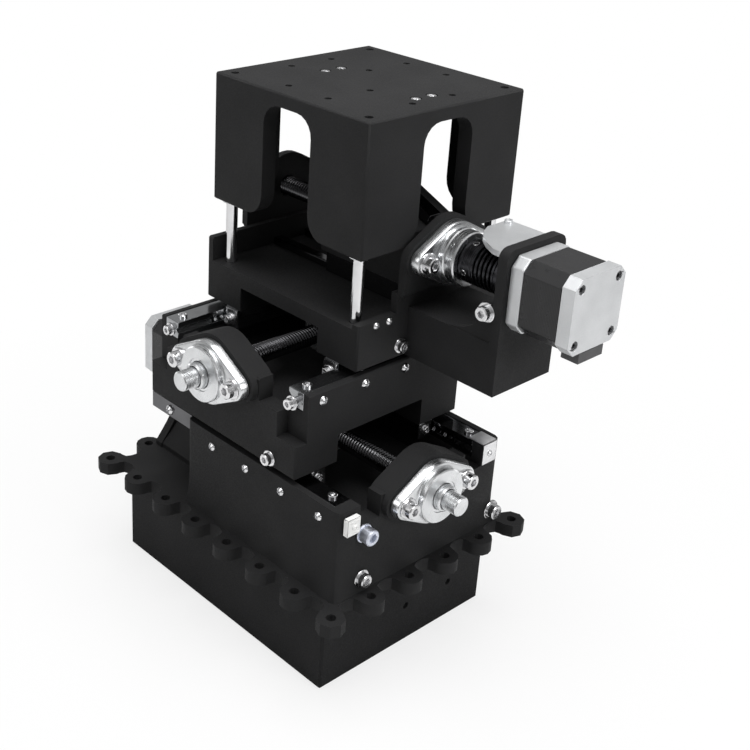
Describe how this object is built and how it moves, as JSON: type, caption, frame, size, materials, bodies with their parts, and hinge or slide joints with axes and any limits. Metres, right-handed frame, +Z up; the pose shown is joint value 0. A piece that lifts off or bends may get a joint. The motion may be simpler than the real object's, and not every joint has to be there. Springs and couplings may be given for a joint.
{
  "type": "motorized positioner",
  "caption": "Stacked three-axis motorized positioner: two crossed slides and a wedge lift under a table, each driven by a screw and a stepping motor.",
  "frame": {"origin": "centre of the base block's underside", "axes": "+Z up to the table; +X along the lower and upper screws, towards the upper motor; +Y along the middle screw, towards the middle motor"},
  "size_m": [0.3068, 0.266, 0.3166],
  "materials": {
    "printed": "matte",
    "block": "satin",
    "rail_steel": "ground",
    "chrome_pin": "polished",
    "housing": "cast and polished",
    "screw_steel": "polished",
    "coupling": "bright turned",
    "motor_case": "cast",
    "motor_core": "semi-gloss",
    "socket_plastic": "matte",
    "switch_white": "satin"
  },
  "bodies": {
    "base": {"base_block": "block", "lower_body": "printed", "lower_rail_left": "rail_steel", "lower_rail_right": "rail_steel", "limit_switch": "switch_white", "lower_far_bearing": "housing", "lower_near_bearing": "housing", "lower_motor_flange": "motor_case", "lower_motor_core": "motor_core", "lower_motor_cap": "motor_case", "lower_motor_socket": "socket_plastic"},
    "lower_drive": {"lower_screw": "screw_steel", "lower_coupling": "coupling", "lower_motor_shaft": "screw_steel"},
    "middle_stage": {"middle_body": "printed", "middle_slider_left": "rail_steel", "middle_slider_right": "rail_steel", "lower_nut": "housing", "middle_rail_left": "rail_steel", "middle_rail_right": "rail_steel", "middle_far_bearing": "housing", "middle_near_bearing": "housing", "middle_motor_flange": "motor_case", "middle_motor_core": "motor_core", "middle_motor_cap": "motor_case", "middle_motor_socket": "socket_plastic"},
    "middle_drive": {"middle_screw": "screw_steel", "middle_coupling": "coupling", "middle_motor_shaft": "screw_steel"},
    "upper_stage": {"upper_body": "printed", "upper_slider_left": "rail_steel", "upper_slider_right": "rail_steel", "middle_nut": "housing", "floor_rail_left": "rail_steel", "floor_rail_right": "rail_steel", "guide_pin_1": "chrome_pin", "guide_pin_2": "chrome_pin", "guide_pin_3": "chrome_pin", "guide_pin_4": "chrome_pin", "upper_far_bearing": "housing", "upper_near_bearing": "housing", "upper_motor_flange": "motor_case", "upper_motor_core": "motor_core", "upper_motor_cap": "motor_case", "upper_motor_socket": "socket_plastic"},
    "upper_drive": {"upper_screw": "screw_steel", "upper_coupling": "coupling", "upper_motor_shaft": "screw_steel"},
    "wedge_slide": {"wedge": "printed", "wedge_nut": "housing", "wedge_carriage_left": "rail_steel", "wedge_carriage_right": "rail_steel", "incline_rail": "rail_steel"},
    "table_unit": {"table": "printed", "table_block": "printed", "incline_carriage": "rail_steel", "guide_bushing_1": "rail_steel", "guide_bushing_2": "rail_steel", "guide_bushing_3": "rail_steel", "guide_bushing_4": "rail_steel"}
  },
  "joints": [
    {"name": "lower_screw_turn", "type": "hinge", "parent": "base", "child": "lower_drive", "pos_m": [0.031, 0, 0.112], "axis": [1, 0, 0], "range_deg": [-3781, 1621]},
    {"name": "x_slide", "type": "slide", "parent": "base", "child": "middle_stage", "axis": [1, 0, 0], "range_m": [-0.018, 0.042]},
    {"name": "middle_screw_turn", "type": "hinge", "parent": "middle_stage", "child": "middle_drive", "pos_m": [-0.005, 0, 0.165], "axis": [0, 1, 0], "range_deg": [-1441, 4501]},
    {"name": "y_slide", "type": "slide", "parent": "middle_stage", "child": "upper_stage", "axis": [0, 1, 0], "range_m": [-0.05, 0.016]},
    {"name": "upper_screw_turn", "type": "hinge", "parent": "upper_stage", "child": "upper_drive", "pos_m": [-0.005, 0.04, 0.2345], "axis": [1, 0, 0], "range_deg": [-181, 3421]},
    {"name": "wedge_travel", "type": "slide", "parent": "upper_stage", "child": "wedge_slide", "axis": [1, 0, 0], "range_m": [-0.038, 0.002]},
    {"name": "table_lift", "type": "slide", "parent": "upper_stage", "child": "table_unit", "axis": [0, 0, 1], "range_m": [-0.0156, 0.00083]}
  ],
  "couplings": [
    {"joint": "lower_screw_turn", "follows": "x_slide", "rad_per_m": -1570.8},
    {"joint": "middle_screw_turn", "follows": "y_slide", "rad_per_m": -1570.8},
    {"joint": "upper_screw_turn", "follows": "wedge_travel", "rad_per_m": -1570.8},
    {"joint": "table_lift", "follows": "wedge_travel", "ratio": 0.41013}
  ]
}
